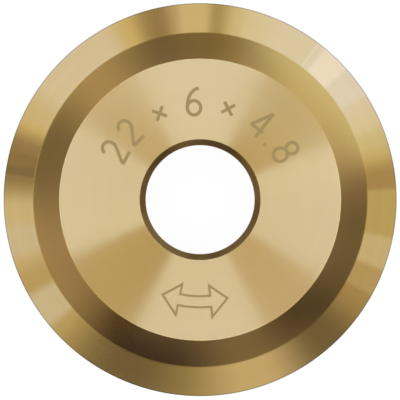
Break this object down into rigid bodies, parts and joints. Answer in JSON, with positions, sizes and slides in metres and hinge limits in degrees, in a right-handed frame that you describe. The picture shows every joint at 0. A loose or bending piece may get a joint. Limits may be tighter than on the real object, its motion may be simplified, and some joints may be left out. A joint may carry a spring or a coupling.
{
  "type": "tile cutter wheel",
  "caption": "Coated carbide scoring wheel for a tile cutter: flat faces, sloping shoulders and a bevelled cutting edge round a chamfered axle bore.",
  "frame": {"origin": "centre of the wheel, on the axle's axis and midway between the two flat faces", "axes": "+Z along the axle, out of the face that the picture shows; the cutting edge lies in the XY plane; the wheel rests on its lower flat face, 2.4 mm below the origin"},
  "size_m": [0.022, 0.022, 0.0048],
  "materials": {
    "gold_coating": "satin"
  },
  "bodies": {
    "root": {"cutter_wheel": "gold_coating"}
  },
  "joints": []
}
